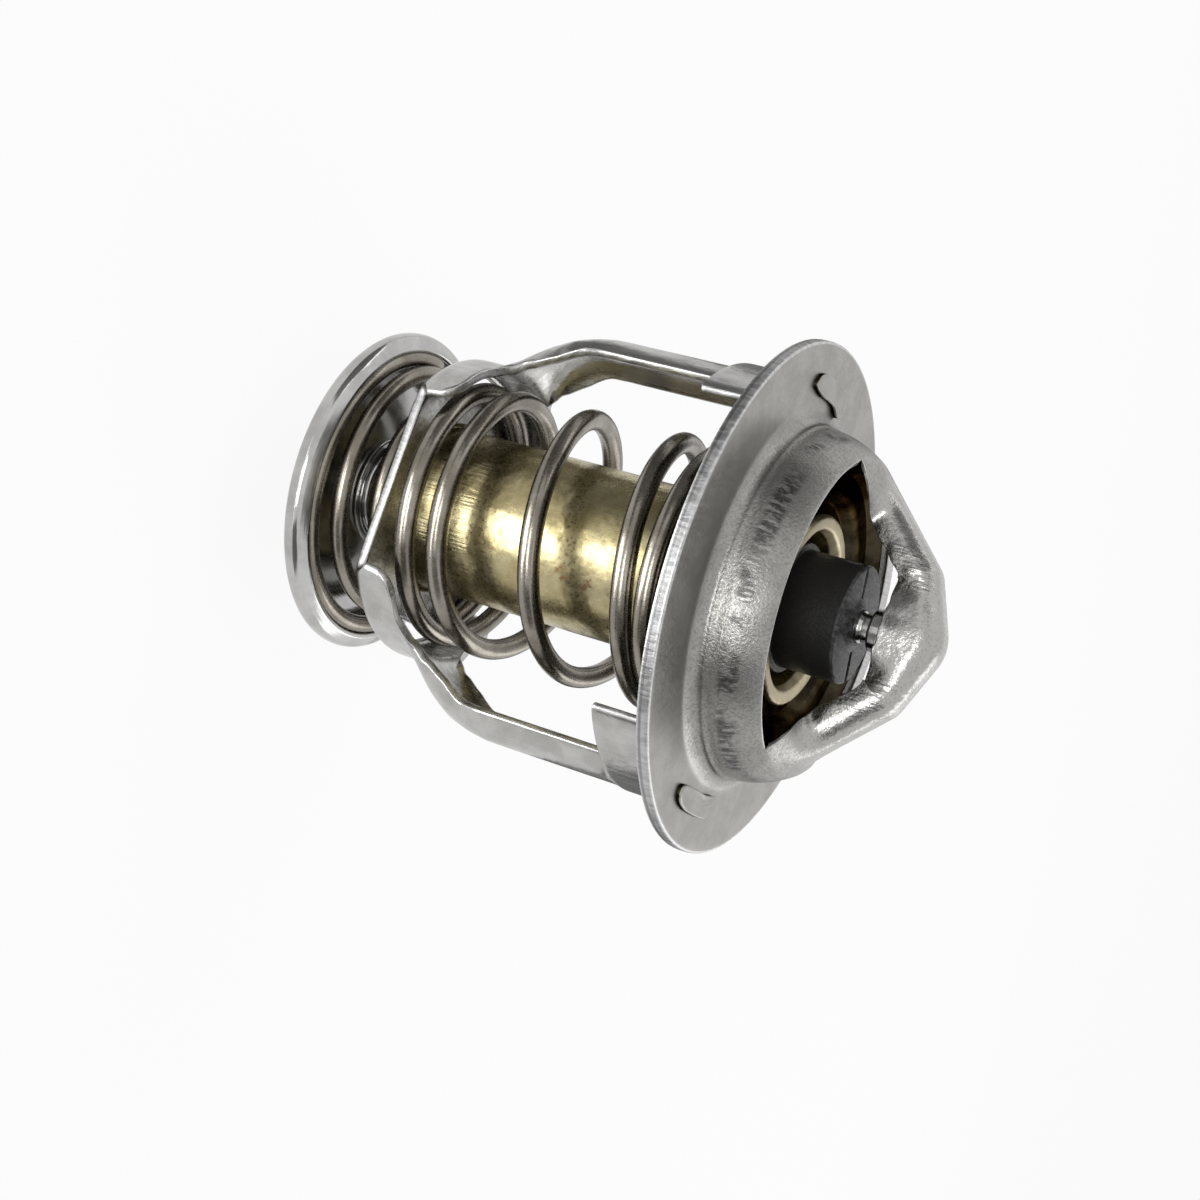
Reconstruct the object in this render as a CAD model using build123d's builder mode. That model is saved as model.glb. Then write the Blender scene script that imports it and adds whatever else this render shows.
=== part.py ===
from build123d import *
from math import asin, cos, degrees, radians, sin, sqrt, tan
import os

# Engine thermostat, in millimetres. Z runs up the axis and is 0 at the underside of the flange, on
# its housing seat. The bridge and the two legs of the frame lie along Y.

# Valve body: flange, dome and bridge, pressed from one sheet
flange_diameter = 56.0
flange_thickness = 1.4
sheet = 1.0
root_radius = 20.9
root_fillet = 2.2
shoulder_height = 2.8
shoulder_inset = 1.6
dome_middle_inset = 2.15
rim_inset = 3.6
rim_height = 8.5
bridge_height = 20.8
bridge_peak_slope = 22.0
bridge_peak_radius = 5.0
bridge_knee_radius = 3.0
arm_slope = 45.0
arm_width = 6.2
arm_depth = 3.8
arm_proud = 0.06
arm_root_width = 15.0
arm_flare_share = 0.7
arm_fold_radius = 2.0
eaves_height = 14.5
socket_radius = 2.3
socket_mouth_height = 12.9
socket_depth = 1.1

# Frame: spring cup, two gutter legs, feet and staked tenons, pressed from one sheet
frame_sheet = 1.1
cup_underside = -40.75
cup_spring_gap = 1.225
cup_wall_height = 5.15
cup_bend = 1.7
cup_chord_width = 26.0
cup_wall_flare = 1.3
cup_end_height = 2.3
cup_end_drop = 1.2
cup_end_run = 4.0
capsule_hole_clearance = 0.4
segment_start = 13.7
segment_wall = 1.6
leg_stand_off = 3.0
leg_gutter_radius = 6.5
leg_shoulder_drop = 25.0
# Stations of a leg from the cup's rim up to its shoulder, as shares of the height, of the way out to the
# crest and of the gutter's radius, with the half width at each
leg_height_shares = [0.0, 0.11, 0.3, 0.53, 0.76, 1.0]
leg_crest_shares = [0.0, 0.3, 0.6, 0.83, 0.94, 1.0]
leg_gutter_shares = [1.35, 1.0, 0.86, 0.9, 1.0]
leg_half_widths = [6.2, 5.9, 5.7, 5.2, 4.8, 5.3]
notch_height = 1.4
neck_width = 4.4
foot_height = 7.3
foot_angle = 44.0
tenon_offset_angle = 7.0
tenon_angle = 13.0
tenon_clearance = 0.05
head_width = 3.0
head_height = 0.55
head_end_inset = 0.75

# Wax element
capsule_radius = 9.35
capsule_wall = 0.9
capsule_bottom = -43.0
capsule_bend = 0.9
lip_overhang = 1.05
lip_mouth_inset = 0.45
lip_height = 5.4
lip_thickness = 1.1
crimp_radius = 0.5
spring_rib_radius = 0.3
guide_radius = 6.4
guide_top = 11.1
guide_edge = 0.3
guide_step_width = 0.7
guide_step_top = 4.2
guide_flange_top = 0.6
guide_flange_thickness = 2.4
guide_collar_radius = 2.9
guide_collar_height = 0.4
guide_slot_width = 0.5
guide_slot_depth = 0.8
guide_slot_angle = 112.0
backup_ring_radius = 4.4
backup_ring_height = 0.9
sleeve_wall = 1.2
sleeve_flange_thickness = 0.8
pin_radius = 1.75
pin_tip_radius = 1.45
pin_tip_length = 2.2
pin_bottom = -11.0
pin_chamfer = 0.3
pin_end_gap = 0.3
running_clearance = 0.05
fit_clearance = 0.02

# Main valve plate, held under the capsule's lip by the main spring
valve_sheet = 0.8
valve_hub_share = 0.7
valve_seat_inside = 1.0
valve_seat_outside = 1.4
valve_spring_seat = 5.0
valve_rim_height = 7.2
valve_bend = 0.3
valve_seat_gap = 0.03

# Springs: each rise is a half turn's share of the height between the flat end coils
main_wire = 2.35
main_coil_inset = 3.3
main_start_angle = 212.0
main_rises = [0.058, 0.047, 0.045, 0.139, 0.139, 0.132, 0.132, 0.029, 0.029, 0.06, 0.085, 0.105]
bypass_wire = 2.0
bypass_coil_inset = 2.8
bypass_narrowing = [0.0, 0.2, 0.46, 0.8, 1.0]
bypass_rises = [0.27, 0.17, 0.34, 0.22]
bypass_start_angle = 60.0

# Bypass valve and its stem
disc_radius = 18.7
disc_sheet = 0.9
disc_floor = -48.3
disc_rim_height = 1.8
disc_rim_curl = 0.8
disc_lip_width = 1.3
disc_bend = 1.1
hub_radius = 6.0
hub_height = 1.9
hub_bend = 0.4
stem_radius = 2.4
stem_foot_radius = 3.4
stem_foot_height = 0.8
stem_head_radius = 3.4
stem_head_height = 0.8
washer_radius = 4.6
washer_thickness = 0.6

# Sizes and places that follow from the ones above
flange_radius = flange_diameter / 2
shoulder_radius = root_radius - shoulder_inset
rim_radius = root_radius - rim_inset
arm_half = arm_width / 2
arm_tan = tan(radians(arm_slope))
peak_tan = tan(radians(bridge_peak_slope))
main_coil_radius = rim_radius - main_coil_inset
cup_radius = main_coil_radius + main_wire / 2 + cup_spring_gap + frame_sheet
leg_crest = root_radius + leg_stand_off
cup_floor = cup_underside + frame_sheet
cup_rim = cup_underside + cup_wall_height
capsule_inner = capsule_radius - capsule_wall
lip_radius = capsule_radius + lip_overhang
guide_step_radius = guide_radius + guide_step_width
guide_bottom = guide_flange_top - guide_flange_thickness
bore_radius = pin_radius + running_clearance
sleeve_radius = bore_radius + sleeve_wall
sleeve_bottom = pin_bottom - pin_end_gap - sleeve_wall
valve_hub_top = lip_height - lip_thickness
valve_seat_inner = main_coil_radius - valve_seat_inside
valve_hub_radius = lip_radius + valve_hub_share * (valve_seat_inner - lip_radius)
disc_underside = disc_floor - disc_sheet
hub_top = disc_floor + hub_height
dome_wall = ThreePointArc(
    (shoulder_radius, shoulder_height),
    (root_radius - dome_middle_inset, (shoulder_height + rim_height) / 2),
    (rim_radius, rim_height),
)


def arm_height(y, inset):
    """Height at y of the arm's sloping back, moved into the sheet by inset."""
    return rim_height + (rim_radius - y) * arm_tan - inset / cos(radians(arm_slope))


def arm_reach(height, inset):
    """Y of the arm's sloping back at a height, moved into the sheet by inset."""
    return rim_radius - (height - rim_height) / arm_tan - inset / sin(radians(arm_slope))


def dome_inside(height):
    """Radius of the dome's inner face at a height."""
    centre = dome_wall.arc_center
    return centre.X + sqrt((dome_wall.radius - sheet) ** 2 - (height - centre.Y) ** 2)


def turn_point(radius, angle, height):
    """Point on a turn about Z."""
    return (radius * cos(radians(angle)), radius * sin(radians(angle)), height)


def sector(outer, inner, centre_angle, half_angle):
    """A sector of a ring about Z, as a flat sketch."""
    start = centre_angle - half_angle
    with BuildSketch() as ring:
        with BuildLine():
            outer_arc = CenterArc((0, 0), outer, start, 2 * half_angle)
            inner_arc = CenterArc((0, 0), inner, start, 2 * half_angle)
            Line(outer_arc @ 0, inner_arc @ 0)
            Line(outer_arc @ 1, inner_arc @ 1)
        make_face()
    return ring.sketch


def bridge_block(inset):
    """The bridge as a solid bar on the dome's rim, its back and sides moved in by inset."""
    peak = bridge_height + bridge_peak_radius * (1 / cos(radians(bridge_peak_slope)) - 1)
    peak -= inset / cos(radians(bridge_peak_slope))
    back_inset = inset - arm_proud
    knee = (arm_height(0, back_inset) - peak) / (arm_tan - peak_tan)
    foot = arm_reach(rim_height, back_inset)
    with BuildPart() as block:
        with BuildSketch(Plane.YZ) as side:
            Polygon(
                (-foot, rim_height),
                (foot, rim_height),
                (knee, peak - knee * peak_tan),
                (0, peak),
                (-knee, peak - knee * peak_tan),
                align=None,
            )
            corners = side.vertices().sort_by(Axis.Y)
            fillet(corners[-1], bridge_peak_radius - inset)
            fillet(corners[2:4], bridge_knee_radius - inset)
        extrude(amount=arm_half - inset, both=True)
        long_edges = block.edges().filter_by(Plane.YZ).sort_by(Axis.Z)
        fillet(long_edges[2:], arm_fold_radius - inset)
    return block.part


def coil_line(radii, heights, start_angle, lead_in, lead_out):
    """Adds a coil to the open line: half turns between two flat end arcs."""
    first = (radii[0], heights[0])
    last = (radii[-1], heights[-1])
    end_angle = start_angle + 180 * (len(radii) - 1)
    ThreePointArc(
        turn_point(first[0], start_angle - lead_in, first[1]),
        turn_point(first[0], start_angle - lead_in / 2, first[1]),
        turn_point(first[0], start_angle, first[1]),
    )
    for turn in range(len(radii) - 1):
        angle = start_angle + 180 * turn
        middle = Vector(turn_point((radii[turn] + radii[turn + 1]) / 2, angle + 90, 0))
        middle += Vector(turn_point((radii[turn] - radii[turn + 1]) / 2, angle, 0))
        middle += Vector(0, 0, (heights[turn] + heights[turn + 1]) / 2)
        ThreePointArc(
            turn_point(radii[turn], angle, heights[turn]),
            middle,
            turn_point(radii[turn + 1], angle + 180, heights[turn + 1]),
        )
    ThreePointArc(
        turn_point(last[0], end_angle, last[1]),
        turn_point(last[0], end_angle + lead_out / 2, last[1]),
        turn_point(last[0], end_angle + lead_out, last[1]),
    )


def running_total(start, span, shares):
    """Values from start on, each a share of span further than the last."""
    values = [start]
    for share in shares:
        values.append(values[-1] + span * share)
    return values


# Valve body
bridge_bar = bridge_block(0)
bridge_hollow = bridge_block(sheet)

with BuildPart() as bridge:
    add(bridge_bar)
    # The folded sides end on a line along the arms and level below the peak
    with BuildSketch(Plane.YZ):
        Polygon(
            (-arm_reach(rim_height, arm_depth), rim_height),
            (arm_reach(rim_height, arm_depth), rim_height),
            (arm_reach(eaves_height, arm_depth), eaves_height),
            (-arm_reach(eaves_height, arm_depth), eaves_height),
            align=None,
        )
    extrude(amount=arm_half, both=True, mode=Mode.SUBTRACT)
    add(bridge_hollow, mode=Mode.SUBTRACT)
    # Socket for the pin's tip, pressed down from the peak
    with BuildSketch(Plane.XY.offset(socket_mouth_height)):
        Circle(socket_radius)
    extrude(amount=bridge_height - sheet / 2 - socket_mouth_height)
    with BuildSketch(Plane.XY.offset(socket_mouth_height)):
        Circle(pin_tip_radius + fit_clearance)
    extrude(amount=socket_depth, mode=Mode.SUBTRACT)

with BuildPart() as valve_body:
    crown_end = arm_reach(bridge_height, 0) + arm_half
    dome_middle = (valve_rim_height + shoulder_height) / 2
    with BuildSketch(Plane.XZ):
        with BuildLine():
            # Flange, root fillet, dome wall and crown, outside
            Polyline(
                (root_radius - sheet, 0),
                (flange_radius, 0),
                (flange_radius, flange_thickness),
                (root_radius, flange_thickness),
            )
            RadiusArc((root_radius, flange_thickness), (shoulder_radius, shoulder_height), root_fillet)
            ThreePointArc(dome_wall @ 0, dome_wall @ 0.5, dome_wall @ 1)
            Polyline(
                (rim_radius, rim_height),
                (crown_end, arm_height(crown_end, 0)),
                (crown_end, arm_height(crown_end, sheet)),
                (dome_inside(rim_height), arm_height(dome_inside(rim_height), sheet)),
            )
            # The same wall, inside
            Line(
                (dome_inside(rim_height), arm_height(dome_inside(rim_height), sheet)),
                (dome_inside(valve_rim_height), valve_rim_height),
            )
            ThreePointArc(
                (dome_inside(valve_rim_height), valve_rim_height),
                (dome_inside(dome_middle), dome_middle),
                (dome_inside(shoulder_height), shoulder_height),
            )
            RadiusArc(
                (dome_inside(shoulder_height), shoulder_height),
                (root_radius - sheet, 0),
                -(root_fillet + sheet),
            )
        make_face()
    revolve(axis=Axis.Z)
    # Two side windows above the dome's rim, which leave the arms' flared roots
    root_half = arm_root_width / 2
    root_y = sqrt(rim_radius**2 - root_half**2)
    flare_y = root_y - (root_half - arm_half) * arm_flare_share
    with BuildSketch(Plane.XY.offset(rim_height)):
        with BuildLine():
            Line((arm_half, -flare_y), (arm_half, flare_y))
            TangentArc((arm_half, flare_y), (root_half, root_y), tangent=(0, 1))
            TangentArc((arm_half, -flare_y), (root_half, -root_y), tangent=(0, -1))
            Polyline(
                (root_half, root_y),
                (flange_radius, root_y),
                (flange_radius, -root_y),
                (root_half, -root_y),
            )
        make_face()
        mirror(about=Plane.YZ)
    extrude(amount=bridge_height, mode=Mode.SUBTRACT)
    add(bridge.part)
    # Slots for the frame's tenons
    with BuildSketch(Plane.XY):
        slot_half_angle = tenon_angle + degrees(tenon_clearance / leg_crest)
        slot_inner = leg_crest - frame_sheet - tenon_clearance
        slot_outer = leg_crest + tenon_clearance
        add(sector(slot_outer, slot_inner, 90 - tenon_offset_angle, slot_half_angle))
        mirror(about=Plane.XZ)
    extrude(amount=flange_thickness, mode=Mode.SUBTRACT)
valve_body.part.label = "valve_body"


# Frame
leg_top = -foot_height - notch_height
climb = -leg_shoulder_drop - cup_rim
leg_heights = [cup_rim + share * climb for share in leg_height_shares] + [leg_top]
leg_crests = [cup_radius + share * (leg_crest - cup_radius) for share in leg_crest_shares] + [leg_crest]
leg_radii = [cup_radius] + [share * leg_gutter_radius for share in leg_gutter_shares] + [leg_gutter_radius]
leg_halves = leg_half_widths + leg_half_widths[-1:]

with BuildPart() as leg:
    for height, crest, radius, half_width in zip(leg_heights, leg_crests, leg_radii, leg_halves):
        half_angle = degrees(asin(half_width / radius))
        first_angle = 90 - half_angle
        with BuildSketch(Plane.XY.offset(height)):
            with BuildLine():
                outer_arc = CenterArc((0, crest - radius), radius, first_angle, 2 * half_angle)
                inner_arc = CenterArc((0, crest - radius), radius - frame_sheet, first_angle, 2 * half_angle)
                Line(outer_arc @ 0, inner_arc @ 0)
                Line(outer_arc @ 1, inner_arc @ 1)
            make_face()
    loft(ruled=True)
    # Neck between the relief notches, foot under the flange and tenon through it
    with BuildSketch(Plane.XY.offset(leg_top)):
        add(sector(leg_crest, leg_crest - frame_sheet, 90, degrees(asin(neck_width / 2 / leg_crest))))
    extrude(amount=notch_height)
    with BuildSketch(Plane.XY.offset(-foot_height)):
        add(sector(leg_crest, leg_crest - frame_sheet, 90, foot_angle))
    extrude(amount=foot_height)
    with BuildSketch(Plane.XY):
        add(sector(leg_crest, leg_crest - frame_sheet, 90 - tenon_offset_angle, tenon_angle))
    extrude(amount=flange_thickness)

with BuildPart() as frame:
    # Cup
    with BuildSketch(Plane.XZ):
        with BuildLine():
            FilletPolyline(
                (capsule_radius + capsule_hole_clearance, cup_underside),
                (cup_radius, cup_underside),
                (cup_radius, cup_rim),
                radius=cup_bend,
            )
            offset(amount=frame_sheet, side=Side.LEFT, closed=True)
        make_face()
    revolve(axis=Axis.Z)
    # Flat sides: the floor is cut straight, and the wall slants outwards and then in under its rim
    chord_half = cup_chord_width / 2
    with BuildSketch(Plane.XZ):
        Polygon(
            (chord_half, cup_underside),
            (cup_radius, cup_underside),
            (cup_radius, cup_rim),
            (chord_half - cup_end_run, cup_rim),
            (chord_half, cup_rim - cup_end_drop),
            (chord_half + cup_wall_flare, cup_underside + cup_end_height),
            align=None,
        )
        mirror(about=Plane.YZ)
    extrude(amount=cup_radius, both=True, mode=Mode.SUBTRACT)
    # One opening beside each leg's root
    with BuildSketch(Plane.XY.offset(cup_underside)):
        Circle(cup_radius - segment_wall)
        Rectangle(2 * cup_radius, 2 * segment_start, mode=Mode.SUBTRACT)
    extrude(amount=frame_sheet, mode=Mode.SUBTRACT)
    add(leg.part)
    mirror(leg.part, about=Plane.XZ)
    # Staked heads on the flange: a bean and, opposite, one with a flat end
    head_radius = leg_crest - frame_sheet / 2
    tenon_centre = 90 - tenon_offset_angle
    head_angle = tenon_angle - degrees(head_end_inset / head_radius)
    head_inner = head_radius - head_width / 2
    with BuildSketch(Plane.XY.offset(flange_thickness)):
        SlotArc(CenterArc((0, 0), head_radius, -tenon_centre - head_angle, 2 * head_angle), head_width)
        SlotArc(CenterArc((0, 0), head_radius, tenon_centre, head_angle), head_width)
        add(sector(head_inner + head_width, head_inner, tenon_centre - head_angle / 2, head_angle / 2))
    extrude(amount=head_height)
frame.part.label = "frame"


# Wax element: capsule, guide, sleeve, backup ring, wax and pin
spring_rib_height = cup_underside + spring_rib_radius / 2
with BuildPart() as capsule:
    crimp_height = guide_flange_top + crimp_radius
    inner_floor = capsule_bottom + capsule_wall
    with BuildSketch(Plane.XZ):
        with BuildLine():
            # Outside, from the bottom up
            Polyline((0, capsule_bottom), (capsule_radius - capsule_bend, capsule_bottom))
            RadiusArc(
                (capsule_radius - capsule_bend, capsule_bottom),
                (capsule_radius, capsule_bottom + capsule_bend),
                -capsule_bend,
            )
            Line(
                (capsule_radius, capsule_bottom + capsule_bend),
                (capsule_radius, spring_rib_height - spring_rib_radius),
            )
            ThreePointArc(
                (capsule_radius, spring_rib_height - spring_rib_radius),
                (capsule_radius + spring_rib_radius, spring_rib_height),
                (capsule_radius, spring_rib_height + spring_rib_radius),
            )
            Line(
                (capsule_radius, spring_rib_height + spring_rib_radius),
                (capsule_radius, crimp_height - crimp_radius),
            )
            ThreePointArc(
                (capsule_radius, crimp_height - crimp_radius),
                (capsule_radius - crimp_radius, crimp_height),
                (capsule_radius, crimp_height + crimp_radius),
            )
            Polyline(
                (capsule_radius, crimp_height + crimp_radius),
                (capsule_radius, lip_height - lip_thickness),
                (lip_radius, lip_height - lip_thickness),
                (lip_radius, lip_height),
                (capsule_radius - lip_mouth_inset, lip_height),
            )
            # Inside, back down
            RadiusArc(
                (capsule_radius - lip_mouth_inset, lip_height),
                (capsule_inner, lip_height - lip_thickness),
                2 * lip_thickness,
            )
            Line((capsule_inner, lip_height - lip_thickness), (capsule_inner, crimp_height + crimp_radius))
            ThreePointArc(
                (capsule_inner, crimp_height + crimp_radius),
                (capsule_inner - crimp_radius, crimp_height),
                (capsule_inner, crimp_height - crimp_radius),
            )
            Polyline(
                (capsule_inner, crimp_height - crimp_radius),
                (capsule_inner, inner_floor),
                (0, inner_floor),
                (0, capsule_bottom),
            )
        make_face()
    revolve(axis=Axis.Z)
capsule.part.label = "capsule"

with BuildPart() as guide:
    flange_fit = capsule_inner - running_clearance
    with BuildSketch(Plane.XZ):
        Polygon(
            (bore_radius, guide_bottom),
            (flange_fit, guide_bottom),
            (flange_fit, guide_flange_top),
            (guide_step_radius, guide_flange_top),
            (guide_step_radius, guide_step_top),
            (guide_radius, guide_step_top),
            (guide_radius, guide_top),
            (bore_radius, guide_top),
            align=None,
        )
    revolve(axis=Axis.Z)
    top_edges = guide.edges().filter_by(GeomType.CIRCLE).group_by(Axis.Z)[-1]
    fillet(top_edges.sort_by(SortBy.RADIUS)[-1], guide_edge)
    # Recess for the backup ring
    with BuildSketch(Plane.XY.offset(guide_bottom)):
        Circle(backup_ring_radius + fit_clearance)
    extrude(amount=backup_ring_height, mode=Mode.SUBTRACT)
    # Slot across the face, then the collar round the pin
    with BuildSketch(Plane.XY.offset(guide_top)):
        Rectangle(2 * guide_radius, guide_slot_width, rotation=guide_slot_angle)
    extrude(amount=-guide_slot_depth, mode=Mode.SUBTRACT)
    with BuildSketch(Plane.XZ):
        Polygon(
            (bore_radius, guide_top - guide_slot_depth),
            (guide_collar_radius, guide_top - guide_slot_depth),
            (guide_collar_radius, guide_top),
            (bore_radius + guide_collar_height, guide_top + guide_collar_height),
            (bore_radius, guide_top + guide_collar_height),
            align=None,
        )
    revolve(axis=Axis.Z)
guide.part.label = "guide"

with BuildPart() as backup_ring:
    with BuildSketch(Plane.XY.offset(guide_bottom)):
        Circle(backup_ring_radius)
        Circle(bore_radius, mode=Mode.SUBTRACT)
    extrude(amount=backup_ring_height)
backup_ring.part.label = "backup_ring"

with BuildPart() as rubber_sleeve:
    flange_underside = guide_bottom - sleeve_flange_thickness
    with BuildSketch(Plane.XZ):
        Polygon(
            (bore_radius, guide_bottom),
            (flange_fit, guide_bottom),
            (flange_fit, flange_underside),
            (sleeve_radius, flange_underside),
            (sleeve_radius, sleeve_bottom),
            (0, sleeve_bottom),
            (0, sleeve_bottom + sleeve_wall),
            (bore_radius, sleeve_bottom + sleeve_wall),
            align=None,
        )
    revolve(axis=Axis.Z)
    fillet(rubber_sleeve.edges().filter_by(GeomType.CIRCLE).sort_by(Axis.Z)[0], sleeve_wall / 2)
rubber_sleeve.part.label = "rubber_sleeve"

with BuildPart() as wax:
    charge_radius = capsule_inner - fit_clearance
    charge_top = flange_underside - fit_clearance
    sleeve_hollow = sleeve_radius + fit_clearance
    hollow_bottom = sleeve_bottom - fit_clearance
    with BuildSketch(Plane.XZ):
        Polygon(
            (0, inner_floor + fit_clearance),
            (charge_radius, inner_floor + fit_clearance),
            (charge_radius, charge_top),
            (sleeve_hollow, charge_top),
            (sleeve_hollow, hollow_bottom),
            (0, hollow_bottom),
            align=None,
        )
    revolve(axis=Axis.Z)
wax.part.label = "wax"

with BuildPart() as pin:
    pin_top = socket_mouth_height + socket_depth - fit_clearance
    pin_shoulder = pin_top - pin_tip_length
    with BuildSketch(Plane.XZ):
        Polygon(
            (0, pin_bottom),
            (pin_radius, pin_bottom),
            (pin_radius, pin_shoulder),
            (pin_tip_radius, pin_shoulder + pin_chamfer),
            (pin_tip_radius, pin_top),
            (0, pin_top),
            align=None,
        )
    revolve(axis=Axis.Z)
    chamfer(pin.edges().sort_by(Axis.Z)[0], pin_chamfer)
pin.part.label = "pin"


# Main valve plate: flat hub under the lip, raised seat for the spring and a rim that meets the dome
with BuildPart() as main_valve:
    valve_radius = dome_inside(valve_rim_height) - valve_seat_gap
    with BuildSketch(Plane.XZ):
        with BuildLine():
            FilletPolyline(
                (capsule_radius + running_clearance, valve_hub_top - valve_sheet),
                (valve_hub_radius, valve_hub_top - valve_sheet),
                (valve_seat_inner, valve_spring_seat),
                (main_coil_radius + valve_seat_outside, valve_spring_seat),
                (valve_radius, valve_rim_height - valve_sheet / 2),
                radius=[valve_bend + valve_sheet, valve_bend, valve_bend + valve_sheet],
            )
            offset(amount=valve_sheet, side=Side.LEFT, closed=True)
        make_face()
    revolve(axis=Axis.Z)
main_valve.part.label = "main_valve"


# Main spring, from the cup's floor to the valve plate
main_bottom = cup_floor + fit_clearance + main_wire / 2
main_span = valve_spring_seat - fit_clearance - main_wire / 2 - main_bottom
main_heights = running_total(main_bottom, main_span, main_rises)
with BuildPart() as main_spring:
    with BuildLine() as main_coil:
        coil_line([main_coil_radius] * len(main_heights), main_heights, main_start_angle, 90, 270)
    with BuildSketch(Plane(main_coil.wire() @ 0, z_dir=main_coil.wire() % 0)):
        Circle(main_wire / 2)
    sweep(path=main_coil.wire())
main_spring.part.label = "main_spring"


# Bypass valve: a dished disc with a rolled rim and a hub that slides on the stem
with BuildPart() as bypass_valve:
    hub_hole = stem_radius + running_clearance
    with BuildSketch(Plane.XZ):
        with BuildLine():
            # Underside, from the hub's hole to the rim's lip
            FilletPolyline(
                (hub_hole, hub_top - disc_sheet),
                (hub_radius - disc_sheet, hub_top - disc_sheet),
                (hub_radius - disc_sheet, disc_underside),
                (disc_radius, disc_underside),
                (disc_radius, disc_floor + disc_rim_height - disc_rim_curl),
                (disc_radius - disc_lip_width, disc_floor + disc_rim_height),
                radius=[hub_bend, hub_bend + disc_sheet, disc_bend, disc_bend],
            )
            offset(amount=disc_sheet, side=Side.LEFT, closed=True)
        make_face()
    revolve(axis=Axis.Z)
bypass_valve.part.label = "bypass_valve"

washer_top = hub_top - disc_sheet - fit_clearance
with BuildPart() as stem_washer:
    with BuildSketch(Plane.XY.offset(washer_top)):
        Circle(washer_radius)
        Circle(stem_radius + fit_clearance, mode=Mode.SUBTRACT)
    extrude(amount=-washer_thickness)
stem_washer.part.label = "stem_washer"

with BuildPart() as stem:
    head_top = washer_top - washer_thickness
    with BuildSketch(Plane.XZ):
        Polygon(
            (0, capsule_bottom),
            (stem_foot_radius, capsule_bottom),
            (stem_radius, capsule_bottom - stem_foot_height),
            (stem_radius, head_top),
            (stem_head_radius, head_top),
            (stem_radius, head_top - stem_head_height),
            (0, head_top - stem_head_height),
            align=None,
        )
    revolve(axis=Axis.Z)
stem.part.label = "stem"


# Bypass spring, from the capsule's rib down to the disc's floor
bypass_bottom = disc_floor + fit_clearance + bypass_wire / 2
bypass_top = spring_rib_height - spring_rib_radius - bypass_wire / 2
bypass_large_radius = disc_radius - bypass_coil_inset
bypass_small_radius = capsule_radius + fit_clearance + bypass_wire / 2
bypass_heights = running_total(bypass_bottom, bypass_top - bypass_bottom, bypass_rises)
bypass_radii = [
    bypass_large_radius + share * (bypass_small_radius - bypass_large_radius) for share in bypass_narrowing
]
with BuildPart() as bypass_spring:
    with BuildLine() as bypass_coil:
        coil_line(bypass_radii, bypass_heights, bypass_start_angle, 150, 90)
    with BuildSketch(Plane(bypass_coil.wire() @ 0, z_dir=bypass_coil.wire() % 0)):
        Circle(bypass_wire / 2)
    sweep(path=bypass_coil.wire())
bypass_spring.part.label = "bypass_spring"


pieces = [
    valve_body,
    frame,
    capsule,
    guide,
    backup_ring,
    rubber_sleeve,
    wax,
    pin,
    main_valve,
    main_spring,
    bypass_valve,
    stem,
    stem_washer,
    bypass_spring,
]
os.makedirs("parts", exist_ok=True)
for piece in pieces:
    export_step(piece.part, f"parts/{piece.part.label}.step")
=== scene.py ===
from math import acos, asin, cos, pi, radians, sin, sqrt, tan

import bmesh
import bpy
import numpy as np
from mathutils import Matrix, Vector

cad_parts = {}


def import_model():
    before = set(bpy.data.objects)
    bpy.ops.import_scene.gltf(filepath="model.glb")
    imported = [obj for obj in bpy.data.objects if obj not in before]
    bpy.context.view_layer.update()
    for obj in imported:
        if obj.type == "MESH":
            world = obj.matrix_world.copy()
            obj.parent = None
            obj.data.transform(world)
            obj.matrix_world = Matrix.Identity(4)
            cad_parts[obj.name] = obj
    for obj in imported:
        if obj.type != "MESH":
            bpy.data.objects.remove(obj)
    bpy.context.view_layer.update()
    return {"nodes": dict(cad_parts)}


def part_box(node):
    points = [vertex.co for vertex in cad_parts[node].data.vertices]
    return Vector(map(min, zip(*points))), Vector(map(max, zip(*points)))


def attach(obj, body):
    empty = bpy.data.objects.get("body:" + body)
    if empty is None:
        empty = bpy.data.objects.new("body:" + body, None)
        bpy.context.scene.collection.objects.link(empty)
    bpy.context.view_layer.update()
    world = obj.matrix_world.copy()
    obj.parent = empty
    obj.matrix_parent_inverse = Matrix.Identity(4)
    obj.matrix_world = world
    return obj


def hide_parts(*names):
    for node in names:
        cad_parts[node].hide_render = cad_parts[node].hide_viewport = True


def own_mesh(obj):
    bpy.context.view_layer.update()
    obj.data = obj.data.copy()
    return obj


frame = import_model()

# Sizes are in millimetres and angles in degrees. MM turns a size into metres.
MM = 0.001


def reach(node, axis):
    """Furthest reach of a CAD node along an axis."""
    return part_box(node)[1][axis] / MM


def depth(node, axis):
    """Lowest reach of a CAD node along an axis."""
    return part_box(node)[0][axis] / MM


X, Y, Z = 0, 1, 2

# Valve body
flange_radius = reach("valve_body", X)
flange_thickness = 1.4
sheet = 1.0
root_radius = 20.9
shoulder_radius = 19.3
shoulder_height = 2.8
dome_middle_radius = 18.75
root_fillet = 2.2
rim_radius = 17.3
rim_height = 8.5
bridge_height = reach("valve_body", Z)
arm_slope = 45.0
peak_slope = 22.0
peak_radius = 5.0
knee_radius = 3.0
arm_half_width = 3.1
arm_depth = 3.8
arm_root_width = 15.0
arm_fold_length = 6.5
eaves_height = 14.5
socket_radius = 2.3
socket_mouth_height = 12.9
back_fold_radius = 2.4
tuck_depth = 2.8
tuck_slope = 0.12
tuck_start = 4.5
tuck_run = 2.5
crumple_depth = 0.07
swell_width = 3.2
pinch_place = 5.8
pinch_width = 1.5
pinch_depth = 0.5
knee_place = 7.7
arm_spread = 9.0

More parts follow.
